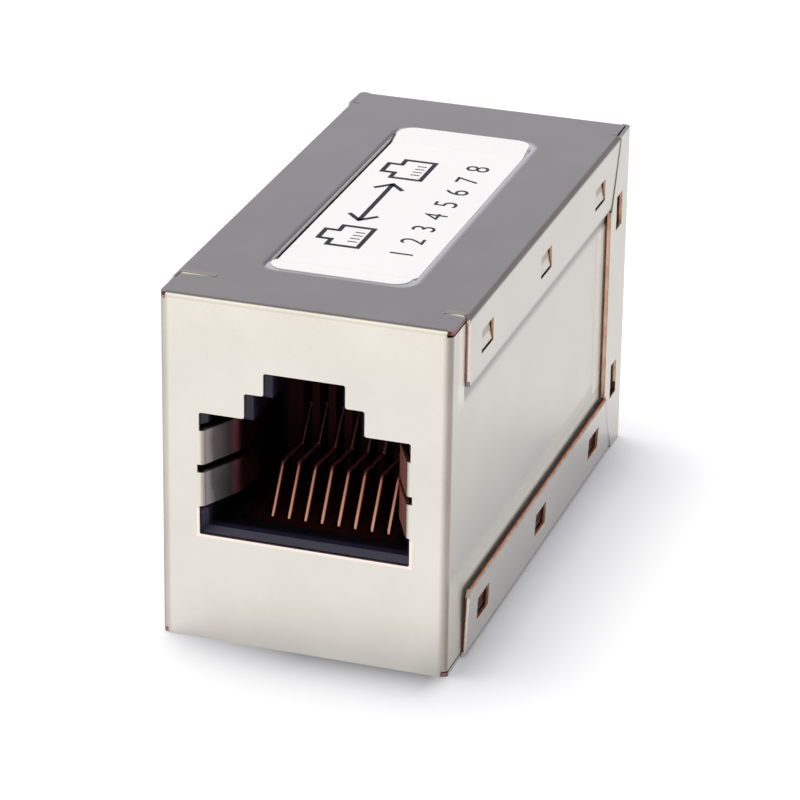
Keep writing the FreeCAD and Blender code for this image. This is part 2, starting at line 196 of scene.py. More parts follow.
rearFlapStart = min(point.y for point in flapPoints
                    if point.y > 0 and abs(point.z - middleHeight) < shieldForm["rearRimHalf"])
levelShare = 0.99  # a level face's normal has at least this share upwards


def levelHeight(name, lowest=0.0):  # of a node's largest level face
    faces = [face for face in nodes[name].data.polygons
             if face.normal.z > levelShare and face.center.z > lowest]
    return max(faces, key=lambda face: face.area).center.z


def addPiece(name, bm, material):
    mesh = bpy.data.meshes.new(name)
    bm.to_mesh(mesh)
    bm.free()
    mesh.materials.append(material)
    piece = bpy.data.objects.new(name, mesh)
    bpy.context.scene.collection.objects.link(piece)
    return piece


print("finishes")


# Finish of the folded sheet: each pair of numbers says where a mask begins and where it is full

nickelSheet = {
    "bright": colour(0.685, 0.66, 0.605),
    "dull": colour(0.64, 0.615, 0.56),
    "darkened": colour(0.47, 0.425, 0.375),       # darker on the folds along the sides, and as painted shade along the lower edges of the top flaps
    "darkenedDeep": colour(0.39, 0.345, 0.305),
    "paintedSheen": colour(0.96, 0.945, 0.89),    # painted sheen on the walls beside the flaps, where they are rubbed rough
    "shade": colour(0.49, 0.485, 0.455),      # along the free edges of the top flaps, and in seams
    "lit": colour(0.87, 0.75, 0.69),          # painted highlight along the lower edge of a port
    "grooveShade": colour(0.32, 0.31, 0.31),       # painted shade in the sunk margin at the label's left
    "marginHighlight": colour(0.93, 0.93, 0.93),         # painted highlight along its right side and its ends
    "highlightCover": 0.3,                         # share of the metal that the painted highlight replaces
    "roughness": 0.13,
    "darkenedRoughness": 0.3,
    "rubRoughness": 0.36,                     # these four are added or taken away
    "cloudRoughness": 0.08,
    "grainRoughness": 0.04,
    "scratchRoughness": 0.05,
    "cloudSize": 4.5 * mm,
    "cloudShare": 0.7,                        # of the tone, and the rest is grain
    "toneRange": (0.35, 0.65),
    "grainSize": 0.16 * mm,
    "grainDepth": 0.0003 * mm,
    "grainShare": 0.6,                        # of the bump, and the rest is rolling marks
    "rollSize": 3 * mm,
    "rollStretch": (18, 1, 1),
    "scratchSize": 5 * mm,
    "scratchStretch": (1.0, 0.35, 0.6),
    "scratchWidth": 0.0022,                   # out of a noise that runs from 0 to 1
    "scratchClouds": (0.5, 0.62),             # clouds that have scratches
    "scratchDepth": 0.0004 * mm,
}

# where the sheet is darker: round the folds, and beside them on the front and rear faces
foldDarkness = {
    "fold": (0.15, 0.85),                     # how far round a fold
    "levelFold": (0.3, 0.5),                  # how far a level fold faces up
    "endFaces": (0.1 * mm, 0.05 * mm),        # behind the front and rear faces
    "spread": (-0.6 * mm, -0.3 * mm),         # on those faces, from a wall's surface
    "spreadShare": 0.7,
}


def behindEnds(finish):  # distance behind the nearer of the front and rear faces
    y = finish.axes()[1]
    return (shieldHigh.y - shieldLow.y) / 2 - abs(y - (shieldHigh.y + shieldLow.y) / 2)


def onEndFaces(finish):
    return finish.between(behindEnds(finish), *foldDarkness["endFaces"])


def foldDarkening(finish):
    across, along, up = [abs(part) for part in finish.axes("Normal")]
    x = finish.axes()[0]
    upright = finish.between(across * along * 2, *foldDarkness["fold"])
    level = finish.between(across * up * 2, *foldDarkness["fold"])
    level = level * finish.between(up, *foldDarkness["levelFold"])
    spread = finish.fade(abs(x) - wallHalf, *foldDarkness["spread"]) * onEndFaces(finish)
    return upright | level | spread * foldDarkness["spreadShare"]


# where the side walls are rubbed rough, and the shares of painted sheen there
wallRub = {
    "surface": (0.15 * mm, 0.14 * mm),        # beyond the walls' outside
    "upright": (0.5, 0.7),                    # how far a face looks sideways
    "low": (1.96 * mm, 0.84 * mm),            # above the lower flap's edge
    "lowPaintedSheen": 0.3,
    "gap": (0.9 * mm, 0.3 * mm),              # closer above it, and behind its front end
    "gapFront": (0.0, 1 * mm),
    "gapPaintedSheen": 0.75,
    "high": (-1.4 * mm, 0.0),                 # from the upper flap's edge
    "highFront": (-1.4 * mm, -0.9 * mm),      # from its front end
    "highPaintedSheen": (0.1 * mm, 0.0),            # painted sheen ahead of that end only
    "rear": (-2.0 * mm, -1.4 * mm),           # from the rear flap's edge
    "rearFoot": (0.5 * mm, 1 * mm),           # above the lower flap
    "rearHead": (-0.5 * mm, -1 * mm),         # from the upper flap
    "rearPaintedSheen": 0.85,
}


def rubbedWalls(finish):
    # masks of the side walls, of what is rubbed rough on them and of where a painted sheen
    # brightens them
    x, y, z = finish.axes()
    sideways = abs(finish.axes("Normal")[0])
    aboveLow, aboveTop = z - lowRim, z - topRim
    behindFront, behindRear = y - flapStart, y - rearFlapStart
    wall = finish.between(abs(x) - wallHalf, *wallRub["surface"])
    wall = wall * finish.between(sideways, *wallRub["upright"])
    low = finish.fade(aboveLow, *wallRub["low"])
    gap = finish.fade(aboveLow, *wallRub["gap"]) * finish.between(behindFront, *wallRub["gapFront"])
    high = finish.fade(aboveTop, *wallRub["high"]) * finish.fade(behindFront, *wallRub["highFront"])
    rear = finish.fade(behindRear, *wallRub["rear"])
    rear = rear * finish.between(aboveLow, *wallRub["rearFoot"])
    rear = rear * finish.between(aboveTop, *wallRub["rearHead"])
    paintedSheen = high * finish.between(behindFront, *wallRub["highPaintedSheen"])
    for mask, share in ((low, "lowPaintedSheen"), (gap, "gapPaintedSheen"), (rear, "rearPaintedSheen")):
        paintedSheen = paintedSheen | mask * wallRub[share]
    return wall, (low | high | rear) * wall, paintedSheen * wall


edgeShade = {  # along the free edges of the top flaps
    "onWall": (-1 * mm, -0.55 * mm),          # from the edge
    "onFlap": (0.45 * mm, 0.0),
    "flapFoot": (-1 * mm, 0.0),
    "head": (1 * mm, 0.9 * mm),
    "front": (-0.1 * mm, 0.0),                # from the front end of the flaps
    "rear": (-1.6 * mm, -1.8 * mm),           # from that end's mirror image at the rear
}


def shadedEdges(finish, wall):
    y, z = finish.axes()[1:]
    aboveTop = z - topRim
    onFlap = finish.fade(aboveTop, *edgeShade["onFlap"])
    onFlap = onFlap * finish.between(aboveTop, *edgeShade["flapFoot"])
    shade = finish.fade(aboveTop, *edgeShade["onWall"]) * wall | onFlap * (1 - wall)
    shade = shade * finish.between(aboveTop, *edgeShade["head"])
    shade = shade * finish.between(y - flapStart, *edgeShade["front"])
    shade = shade * finish.between(y + flapStart, *edgeShade["rear"])
    return shade


seamShade = {  # in the slanted seams between the lower flaps and the rear ones
    "foot": 2.583 * mm,                       # from the rear face
    "slope": 1.8 / 4.3,
    "width": 0.28 * mm,
    "start": (12 * mm, 13 * mm),
    "head": (0.0, -1 * mm),                   # from the middle height
    "upright": (0.9, 0.95),                   # how far a face looks sideways
}


def shadedSeams(finish, wall):
    y, z = finish.axes()[1:]
    sideways = abs(finish.axes("Normal")[0])
    course = (z - shieldLow.z) * seamShade["slope"] + seamShade["foot"]
    seam = finish.between(abs(behindEnds(finish) - course), seamShade["width"], 0.0)
    seam = seam * finish.between(y, *seamShade["start"])
    seam = seam * finish.between(z - middleHeight, *seamShade["head"])
    return seam * finish.between(sideways, *seamShade["upright"]) * (1 - wall)


portRim = {
    "half": 6.3 * mm,                         # the port's outline
    "low": 6.65 * mm,
    "outer": (0.2 * mm, 0.1 * mm),            # outside it
    "inner": (0.0, 0.01 * mm),
    "head": (8.3 * mm, 8.2 * mm),             # below the fingers
}


def litRims(finish):
    x, _, z = finish.axes()
    outside = abs(x) - portRim["half"] | portRim["low"] - z
    lit = finish.between(outside, *portRim["outer"]) * finish.between(outside, *portRim["inner"])
    return lit * finish.between(z, *portRim["head"]) * onEndFaces(finish)


labelMargin = {
    "outset": (0.3 * mm, 0.0),                # over the slits beside the label
    "corner": 1 * mm,
    "width": 0.28 * mm,
    "top": (-0.5 * mm, -0.4 * mm),            # from the highest point of the shield
    "left": (-0.18 * mm, -0.2 * mm),          # from the label's left side
}


def labelMargins(finish):  # masks of the painted shade in the sunk margin at the left and of the painted highlight on the rest
    x, _, z = finish.axes()
    outset, corner, width = [labelMargin[key] for key in ("outset", "corner", "width")]
    margin = finish.around("label", outset, corner, width)
    margin = margin * finish.between(z - shieldHigh.z, *labelMargin["top"])
    grooveShade = margin * finish.between(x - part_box("label")[0].x, *labelMargin["left"])
    return grooveShade, margin - grooveShade


def makeNickel(name, leastDarkening=0.0):
    finish = newFinish(name)
    darkening = foldDarkening(finish) | leastDarkening
    wall, rubbed, paintedSheen = rubbedWalls(finish)
    shade = shadedEdges(finish, wall) | shadedSeams(finish, wall)
    grooveShade, marginHighlight = labelMargins(finish)
    cloud = finish.noise(nickelSheet["cloudSize"], 4.0)
    grain = finish.noise(nickelSheet["grainSize"], 3.0)
    rolled = finish.noise(nickelSheet["rollSize"], 3.0, nickelSheet["rollStretch"])
    ridge = finish.noise(nickelSheet["scratchSize"], 1.0, nickelSheet["scratchStretch"])
    scratch = 1 - finish.between(abs(ridge - 0.5), 0.0, nickelSheet["scratchWidth"])
    scratch = scratch * finish.between(cloud, *nickelSheet["scratchClouds"])
    mottle = cloud * nickelSheet["cloudShare"] + grain * (1 - nickelSheet["cloudShare"])
    tone = finish.between(mottle, *nickelSheet["toneRange"])
    height = (grain * nickelSheet["grainShare"] + rolled * (1 - nickelSheet["grainShare"])
              - scratch * (nickelSheet["scratchDepth"] / nickelSheet["grainDepth"]))
    sheet = finish.blend(tone, nickelSheet["dull"], nickelSheet["bright"])
    # painted sheen brightens the walls beside the flaps
    sheet = finish.blend(paintedSheen, sheet, nickelSheet["paintedSheen"])
    darkened = finish.blend(tone, nickelSheet["darkenedDeep"], nickelSheet["darkened"])
    metal = finish.blend(darkening, sheet, darkened)
    tints = {"shade": shade, "lit": litRims(finish), "grooveShade": grooveShade, "marginHighlight": marginHighlight}
    for tint, mask in tints.items():
        metal = finish.blend(mask, metal, nickelSheet[tint])
    dulling = darkening * (nickelSheet["darkenedRoughness"] - nickelSheet["roughness"])
    return finish.surface({
        "Base Color": metal,
        "Metallic": 1 - marginHighlight * nickelSheet["highlightCover"],
        "Roughness": (dulling + nickelSheet["roughness"]
                      + rubbed * nickelSheet["rubRoughness"]
                      + cloud * nickelSheet["cloudRoughness"]
                      + grain * nickelSheet["grainRoughness"]
                      - scratch * nickelSheet["scratchRoughness"]),
        "Normal": finish.bump(height, nickelSheet["grainDepth"]),
    })


portFinger = {
    "tones": [  # painted light and shade by the distance behind the port's mouth, lit near it and darker deeper in
        (0.75 * mm, colour(0.85, 0.83, 0.83)),
        (1.1 * mm, colour(0.36, 0.36, 0.38)),
        (2.2 * mm, colour(0.14, 0.14, 0.155)),     # at the first bend
        (2.6 * mm, colour(0.33, 0.15, 0.19)),      # painted reflection of the copper contacts beyond it
        (3.3 * mm, colour(0.055, 0.009, 0.013)),
    ],
    "unevenness": 0.6 * mm,                        # of these distances
    "rubbed": colour(0.70, 0.30, 0.24),            # on the right
    "rubbedFrom": (0.0, 1 * mm),
    "roughness": 0.42,
    "grainRoughness": 0.12,
    "cloudSize": 1.5 * mm,
    "grainSize": 0.3 * mm,
    "grainStretch": (1, 1, 6),
    "grainDepth": 0.001 * mm,
}


def makeFingerMetal():
    finish = newFinish("finger_metal")
    cloud = finish.noise(portFinger["cloudSize"], 3.0)
    grain = finish.noise(portFinger["grainSize"], 2.0, portFinger["grainStretch"])
    depth = behindEnds(finish) + cloud * portFinger["unevenness"]
    # painted light and shade, darker deeper inside the port
    tones = finish.tones(depth, portFinger["tones"])
    right = finish.between(finish.axes()[0], *portFinger["rubbedFrom"])
    return finish.surface({
        "Base Color": finish.blend(right, tones, portFinger["rubbed"]),
        "Metallic": 1.0,
        "Roughness": portFinger["roughness"] + grain * portFinger["grainRoughness"],
        "Normal": finish.bump(grain, portFinger["grainDepth"]),
    })


cutEdge = {
    "copper": colour(0.90, 0.62, 0.45),            # the outer half of the sheet, smeared bright
    "tarnish": colour(0.74, 0.42, 0.27),
    "copperClouds": (0.38, 0.62),
    "peach": colour(0.97, 0.84, 0.78),             # painted highlight at the front ends of the flaps
    "oxide": colour(0.14, 0.048, 0.038),           # the torn inner half
    "mauve": colour(0.34, 0.17, 0.17),             # where the tear catches the light
    "smear": (-0.18 * mm, -0.12 * mm),             # from the outside of the sheet
    "smearLimit": (0.06 * mm, 0.04 * mm),
    "wander": 0.05 * mm,
    "leanLimit": (0.02 * mm, 0.0),                 # above the lower flaps' edges
    "upper": (0.0, 1 * mm),                        # above the middle height
    "foot": (1 * mm, 0.9 * mm),
    "fronts": (0.5 * mm, 0.4 * mm),                # behind the front ends of the flaps
    "rearRim": (0.2 * mm, 0.1 * mm),               # on both sides of the rear flap's front edge
    "sideways": (0.4, 0.6),
    "cloudSize": 0.9 * mm,
    "tearSize": 0.12 * mm,
    "tearDepth": 0.004 * mm,
    "tearRoughness": 0.2,
    "roughness": 0.36,
}


def smearedHalf(finish, tear):  # mask of the sheet's outer half
    x, _, z = finish.axes()
    leaning = finish.between(z, shieldLow.z, lowRim)
    leaning = leaning * finish.between(z - lowRim, *cutEdge["leanLimit"])
    beyondFlap = abs(x) - leaning * shieldForm["lean"] - flapHalf
    beyondWall = abs(x) - wallHalf
    beyondEnds = 0 - behindEnds(finish)
    wander = (tear - 0.5) * cutEdge["wander"]
    smeared = 0
    for beyond in (beyondFlap, beyondWall, beyondEnds):
        place = beyond + wander
        half = finish.between(place, *cutEdge["smear"])
        smeared = half * finish.between(place, *cutEdge["smearLimit"]) | smeared
    return smeared


def makeCutEdge(name, smeared):
    finish = newFinish(name)
    cloud = finish.noise(cutEdge["cloudSize"], 3.0)
    tear = finish.noise(cutEdge["tearSize"], 2.0)
    y, z = finish.axes()[1:]
    upper = finish.between(z - middleHeight, *cutEdge["upper"])
    fronts = finish.between(y - flapStart, *cutEdge["fronts"])
    if smeared:
        caught = fronts * upper | finish.between(abs(y - rearFlapStart), *cutEdge["rearRim"])
    else:
        sideways = finish.between(abs(finish.axes("Normal")[0]), *cutEdge["sideways"])
        caught = fronts * (upper * sideways | finish.between(z, *cutEdge["foot"]))
    metal = finish.blend(caught, cutEdge["oxide"], cutEdge["mauve"])
    if smeared:
        clean = finish.between(cloud, *cutEdge["copperClouds"])
        copper = finish.blend(clean, cutEdge["tarnish"], cutEdge["copper"])
        # painted highlight on the front ends of the flaps
        copper = finish.blend(fronts, copper, cutEdge["peach"])
        metal = finish.blend(smearedHalf(finish, tear), metal, copper)
    return finish.surface({
        "Base Color": metal,
        "Metallic": 1.0,
        "Roughness": cutEdge["roughness"] + tear * cutEdge["tearRoughness"],
        "Normal": finish.bump(tear, cutEdge["tearDepth"]),
    })


# Finishes of the other pieces

blackPlastic = {
    "dark": colour(0.004, 0.0035, 0.006),
    "light": colour(0.008, 0.007, 0.012),
    "roughness": 0.3,
    "gloss": 0.5,
}
brownPlastic = {
    "dark": colour(0.03, 0.005, 0.005),
    "light": colour(0.055, 0.010, 0.010),
    "roughness": 0.5,
    "gloss": 0.12,
}
moulding = {
    "mouth": colour(0.030, 0.029, 0.060),          # painted sheen on the lead-in of a port, where light falls on it
    "mouthDepth": (1.3 * mm, 1.2 * mm),
    "cloudSize": 2.5 * mm,
    "cloudRoughness": 0.06,
    "grainSize": 0.14 * mm,
    "grainRoughness": 0.12,
    "grainDepth": 0.0012 * mm,
}


def makePlastic(name, plastic):
    finish = newFinish(name)
    cloud = finish.noise(moulding["cloudSize"], 3.0)
    grain = finish.noise(moulding["grainSize"], 2.0)
    mouth = finish.between(behindEnds(finish), *moulding["mouthDepth"])
    body = finish.blend(cloud, plastic["dark"], plastic["light"])
    return finish.surface({
        "Base Color": finish.blend(mouth, body, moulding["mouth"]),
        "Roughness": (plastic["roughness"] + grain * moulding["grainRoughness"]
                      + cloud * moulding["cloudRoughness"]),
        "Specular IOR Level": plastic["gloss"],
        "Normal": finish.bump(grain, moulding["grainDepth"]),
    })


contactWire = {
    "tones": [  # of the crown, by height
        (6.0 * mm, colour(0.52, 0.29, 0.21)),
        (8.8 * mm, colour(0.30, 0.145, 0.105)),
    ],
    "unevenness": 1.2 * mm,                        # of these heights
    # painted shade on the sides of the wires
    "flank": colour(0.20, 0.032, 0.02),
    "flankFrom": (0.15, 0.65),                     # how far a side looks across
    "level": colour(0.85, 0.36, 0.30),             # painted highlight where a wire runs back under the comb and faces up
    "levelFrom": (0.6, 0.75),                      # how far it faces up
    "roughness": 0.2,
    "drawnRoughness": 0.14,
    "levelRoughness": 0.25,
    "cloudSize": 1.6 * mm,
    "drawnSize": 0.5 * mm,
    "drawnStretch": (9, 1, 1),
    "drawnDepth": 0.0002 * mm,
    "rounding": 0.14 * mm,
    "segments": 4,
    "weld": 0.0005 * mm,
    "crease": 30,                                  # degrees, and sharper edges are rounded
}


def makeContactMetal():
    finish = newFinish("contact_plating")
    cloud = finish.noise(contactWire["cloudSize"], 3.0)
    drawn = finish.noise(contactWire["drawnSize"], 2.0, contactWire["drawnStretch"])
    across, _, up = finish.axes("Normal")
    height = finish.axes()[2] + (cloud - 0.5) * contactWire["unevenness"]
    crown = finish.tones(height, contactWire["tones"])
    flank = finish.between(abs(across), *contactWire["flankFrom"])
    sides = finish.blend(flank, crown, contactWire["flank"])
    level = finish.between(up, *contactWire["levelFrom"])
    return finish.surface({
        "Base Color": finish.blend(level, sides, contactWire["level"]),
        "Metallic": 1.0,
        "Roughness": (contactWire["roughness"] + drawn * contactWire["drawnRoughness"]
                      + level * contactWire["levelRoughness"]),
        "Normal": finish.bump(drawn, contactWire["drawnDepth"]),
    })


solderTin = {
    "dark": colour(0.55, 0.55, 0.57),
    "light": colour(0.78, 0.78, 0.79),
    "roughness": 0.22,
    "cloudRoughness": 0.25,
    "cloudSize": 0.5 * mm,
    "cloudDepth": 0.01 * mm,
}


def makeSolder():
    finish = newFinish("solder_tin")
    cloud = finish.noise(solderTin["cloudSize"], 3.0)
    return finish.surface({
        "Base Color": finish.blend(cloud, solderTin["dark"], solderTin["light"]),
        "Metallic": 1.0,
        "Roughness": solderTin["roughness"] + cloud * solderTin["cloudRoughness"],
        "Normal": finish.bump(cloud, solderTin["cloudDepth"]),
    })


boardLaminate = {
    "dark": colour(0.008, 0.05, 0.02),
    "light": colour(0.02, 0.11, 0.04),
    "roughness": 0.3,
    "weaveRoughness": 0.2,
    "varnish": 0.4,
    "threadSize": 0.9 * mm,
    "threadStretch": 6,
    "threadDepth": 0.004 * mm,
}


def makeLaminate():
    finish = newFinish("board_laminate")
    stretch = boardLaminate["threadStretch"]
    warp = finish.noise(boardLaminate["threadSize"], 1.0, (1, 1, stretch))
    weft = finish.noise(boardLaminate["threadSize"], 1.0, (stretch, 1, 1))
    weave = warp * 0.5 + weft * 0.5
    return finish.surface({
        "Base Color": finish.blend(weave, boardLaminate["dark"], boardLaminate["light"]),
        "Roughness": boardLaminate["roughness"] + weave * boardLaminate["weaveRoughness"],
        "Coat Weight": boardLaminate["varnish"],
        "Normal": finish.bump(weave, boardLaminate["threadDepth"]),
    })


labelFilm = {
    "dark": colour(0.93, 0.93, 0.935),
    "light": colour(0.955, 0.955, 0.955),
    "roughness": 0.5,
    "fibreRoughness": 0.12,
    "cloudSize": 5 * mm,
    "fibreSize": 0.3 * mm,
    "fibreDepth": 0.0015 * mm,
}


def makeLabelFilm():
    finish = newFinish("label_film")
    fibre = finish.noise(labelFilm["fibreSize"], 4.0)
    cloud = finish.noise(labelFilm["cloudSize"], 2.0)
    return finish.surface({
        "Base Color": finish.blend(cloud, labelFilm["dark"], labelFilm["light"]),
        "Roughness": labelFilm["roughness"] + fibre * labelFilm["fibreRoughness"],
        "Normal": finish.bump(fibre, labelFilm["fibreDepth"]),
    })


# The CAD nodes

nickel = makeNickel("nickel")
shieldFinishes = {
    "sheet": nickel,
    "edge": makeCutEdge("cut_edge", True),
    "darkened": makeNickel("darkened_nickel", 1.0),
    "tornAndShaded": makeCutEdge("cut_corner_and_shade", False),
    "finger": makeFingerMetal(),
}
facing = {  # shares of a face's normal
    "bumpUp": (0.1, 0.25),     # the ramp of a snap bump looks this far up
    "bumpAcross": 0.9,         # and this far sideways
    "skinAlong": 0.5,          # the skin of a flap looks less than this far ahead
    "skinUp": 0.2,             # and less than this far up
    "endAlong": 0.6,           # a flap's ends look farther ahead
    "cornerUp": 0.5,           # a cut corner looks less than this far up
    "cutAcross": 0.98,         # other cut edges look straight sideways, ahead or up
    "cutAlong": 0.8,
    "cutUp": 0.9,
}


def partOfFlap(face, nearFlat):
    along, up = abs(face.normal.y), abs(face.normal.z)
    if nearFlat or along < facing["skinAlong"] and up < facing["skinUp"]:
        return "sheet"
    if along > facing["skinAlong"] and up > facing["skinUp"]:
        return "darkened"  # slanted seam between two flaps
    # painted shade: the lower edges of the top flaps take the darker finish
    return "edge" if along > facing["endAlong"] or face.center.z < middleHeight else "darkened"


def partOfShield(face):  # which of the finishes above a face takes
    across, along, up = (abs(part) for part in face.normal)
    x, y, z = abs(face.center.x), face.center.y, face.center.z
    nearEnd = min(y - shieldLow.y, shieldHigh.y - y) < shieldForm["endZone"]
    nearFlat = min(z - shieldLow.z, shieldHigh.z - z) < shieldForm["flatZone"]
    nearFold = x > wallHalf - shieldForm["fold"]
    leastUp, mostUp = facing["bumpUp"]
    isBump = x > wallHalf and leastUp < up < mostUp and across > facing["bumpAcross"]
    if isBump and z < middleHeight:
        return "tornAndShaded"  # painted shade: the bumps in the lower windows take the dark finish of the torn edges
    if x > wallHalf + shieldForm["offWall"]:
        return partOfFlap(face, nearFlat)
    if x > wallHalf:
        return "sheet"
    if nearEnd and nearFlat and nearFold:
        return "tornAndShaded" if up < facing["cornerUp"] else "sheet"
    if across > facing["cutAcross"] and nearFold and shieldHigh.z - z < shieldForm["edgeZone"]:
        return "tornAndShaded"
    if x < shieldForm["fingerReach"] and not nearEnd and not nearFlat:
        return "finger"
    if across > facing["cutAcross"] and x < wallHalf - 2 * shieldForm["sheet"]:
        return "edge" if nearEnd else "sheet"
    if nearFlat and y - shieldLow.y < shieldForm["slitZone"]:
        return "sheet"
    if along > facing["cutAlong"] and not nearEnd or up > facing["cutUp"] and not nearFlat:
        return "edge"
    return "sheet"


def dressShield():
    mesh = nodes["shield"].data
    mesh.materials.clear()
    for material in shieldFinishes.values():
        mesh.materials.append(material)
    parts = list(shieldFinishes)
    for face in mesh.polygons:
        face.material_index = parts.index(partOfShield(face))


def dress(names, material):
    for name in names:
        nodes[name].data.materials.clear()
        nodes[name].data.materials.append(material)


def roundWire(name):
    piece = nodes[name]
    for face in piece.data.polygons:
        face.use_smooth = True
    weld = piece.modifiers.new("weld", "WELD")
    weld.merge_threshold = contactWire["weld"]
    bevel = piece.modifiers.new("bevel", "BEVEL")
    bevel.width = contactWire["rounding"]
    bevel.segments = contactWire["segments"]
    bevel.limit_method = "ANGLE"
    bevel.angle_limit = math.radians(contactWire["crease"])
    bevel.use_clamp_overlap = False
    bevel.harden_normals = True


print("nodes")
contactNames = [name for name in nodes if "_contact_" in name]
dressShield()
dress(["label"], makeLabelFilm())
dress(["front_housing", "rear_housing"], makePlastic("black_plastic", blackPlastic))
dress(["front_carrier", "rear_carrier"], makePlastic("brown_plastic", brownPlastic))
dress(["circuit_board"], makeLaminate())
dress(["front_solder", "rear_solder"], makeSolder())
dress(contactNames, makeContactMetal())
for name in contactNames:
    roundWire(name)


# Burrs along the free edges of the lower flaps, and lips of the relief slits

flapBurr = {
    "reach": 0.045 * mm,   # towards the wall
    "lift": 0.003 * mm,
    "thickness": 0.1 * mm,
    "weld": 0.001 * mm,
    "facingUp": 0.9,
    "above": 1 * mm,       # no free edge lies this far above the lower flaps' height
}

reliefLip = {  # lengths in millimetres
    # from the slit's front side to its rear side: (distance behind the front, height over the top)
    "profile": [(0.0, -0.012), (0.09, 0.0), (0.125, 0.045), (0.16, 0.072), (0.21, 0.081)],
    "ends": [(7.3, 2.27), (-6.4, 2.87)],   # inner end of each slit, and how far behind the front
    "flatHalf": 8.275,
    "foldRadius": 0.35,
    "foldTurns": [14, 28, 42, 56],         # round the fold, in degrees
    "taper": 0.25,
    "thickness": 0.04,
}


def addTrim(name, bm, material, thickness):
    piece = addPiece(name, bm, material)
    backing = piece.modifiers.new("backing", "SOLIDIFY")
    backing.thickness = thickness
    backing.offset = -1
    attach(piece, "root")


def isLowerRim(face):
    height = face.center.z - shieldLow.z
    return (face.normal.z >= flapBurr["facingUp"]
            and abs(face.center.x) >= wallHalf + shieldForm["offWall"]
            and shieldForm["flatZone"] < height < lowRim + flapBurr["above"])


def addFlapBurrs():  # the free edges themselves, widened towards the wall
    bm = bmesh.new()
    mesh = nodes["shield"].data
    for face in filter(isLowerRim, mesh.polygons):
        spots = [mesh.vertices[i].co for i in face.vertices]
        middle = sum(abs(spot.x) for spot in spots) / len(spots)
        corners = []
        for spot in spots:
            reach = flapBurr["reach"] if abs(spot.x) < middle else 0
            corner = (spot.x - math.copysign(reach, spot.x), spot.y, spot.z + flapBurr["lift"])
            corners.append(bm.verts.new(corner))
        bm.faces.new(corners)
    bmesh.ops.remove_doubles(bm, verts=bm.verts[:], dist=flapBurr["weld"])
    addTrim("flap_burrs", bm, shieldFinishes["edge"], flapBurr["thickness"])


def addReliefLips():
    bm = bmesh.new()
    radius = reliefLip["foldRadius"]
    flatHalf = reliefLip["flatHalf"]
    foldHeight = levelHeight("shield", shieldHigh.z - shieldForm["sheet"]) / mm - radius
    for end, behind in reliefLip["ends"]:
        side = math.copysign(1, end)
        # along the lip: place across the top, degrees round the fold, share of the full height
        spots = [(abs(end), 0, 0.0), (abs(end) + reliefLip["taper"], 0, 1.0), (flatHalf, 0, 1.0)]
        spots += [(flatHalf, turn, 1.0) for turn in reliefLip["foldTurns"]]
        rows = []
        for x, turn, share in spots:
            angle = math.radians(turn)
            row = []
            for run, rise in reliefLip["profile"]:
                reach = radius + rise * share
                corner = (side * (x + reach * math.sin(angle)) * mm,
                          shieldLow.y + (behind + run) * mm,
                          (foldHeight + reach * math.cos(angle)) * mm)
                row.append(bm.verts.new(corner))
            rows.append(row)
        for first, second in zip(rows, rows[1:]):
            for i in range(len(first) - 1):
                quad = (first[i], second[i], second[i + 1], first[i + 1])
                bm.faces.new(quad if side > 0 else quad[::-1]).smooth = True
    addTrim("relief_lips", bm, nickel, reliefLip["thickness"] * mm)


print("trim")
addFlapBurrs()
addReliefLips()


# Print on the label

labelPrint = {
    "dark": colour(0.018, 0.018, 0.024),
    "light": colour(0.04, 0.04, 0.05),
    "roughness": 0.5,
    "fadeRoughness": 0.2,
    "fadeSize": 0.5 * mm,
    "ink": 0.004 * mm,
    "bold": 0.3 * mm,
    "fine": 0.13 * mm,
    "bigRow": 1.85 * mm,      # middle of the bold row, from the label's middle line
    "smallRow": -2.25 * mm,
    "rowLength": 14.7 * mm,
    "socketWidth": 3.1 * mm,
    "socketHeight": 2.7 * mm,
    "shoulder": 0.7,          # share of the socket's height
    "notchInset": 0.27,       # shares of its width
    "pinStart": 0.26,
    "pinPitch": 0.16,
    "pins": 4,
    "pinTop": 0.9 * mm,
    "arrowGap": 1.1 * mm,
    "arrowHead": 0.9 * mm,
    "numeralSize": 2.05 * mm,
    "numerals": 8,
}
readingWay = Matrix.Rotation(math.radians(90), 4, "Z")  # rows read from the front port to the rear


def makeInk():
    finish = newFinish("print_ink")
    fade = finish.noise(labelPrint["fadeSize"], 3.0)
    return finish.surface({
        "Base Color": finish.blend(fade, labelPrint["dark"], labelPrint["light"]),
        "Roughness": labelPrint["roughness"] + fade * labelPrint["fadeRoughness"],
    })


def addStroke(bm, path, width, closed=False):  # a bar along a path, with mitred corners
    points = [Vector(point) for point in path]
    count = len(points)
    rims = ([], [])
    for i, point in enumerate(points):
        before = (point - points[i - 1]).normalized() if closed or i > 0 else None
        after = (points[(i + 1) % count] - point).normalized() if closed or i < count - 1 else None
        before = before or after
        after = after or before
        normal = Vector((-before.y - after.y, before.x + after.x)) / (1 + before.dot(after))
        for rim, side in zip(rims, (1, -1)):
            spot = point + normal * (side * width / 2)
            rim.append(bm.verts.new((spot.x, spot.y, 0)))
    for i in range(count if closed else count - 1):
        j = (i + 1) % count
        bm.faces.new((rims[0][i], rims[1][i], rims[1][j], rims[0][j]))


def socketOutline(left, low):  # front view of a socket with its latch notch
    right = left + labelPrint["socketWidth"]
    top = low + labelPrint["socketHeight"]
    shoulder = low + labelPrint["socketHeight"] * labelPrint["shoulder"]
    inset = labelPrint["socketWidth"] * labelPrint["notchInset"]
    return [(left, low), (right, low), (right, shoulder), (right - inset, shoulder),
            (right - inset, top), (left + inset, top), (left + inset, shoulder), (left, shoulder)]


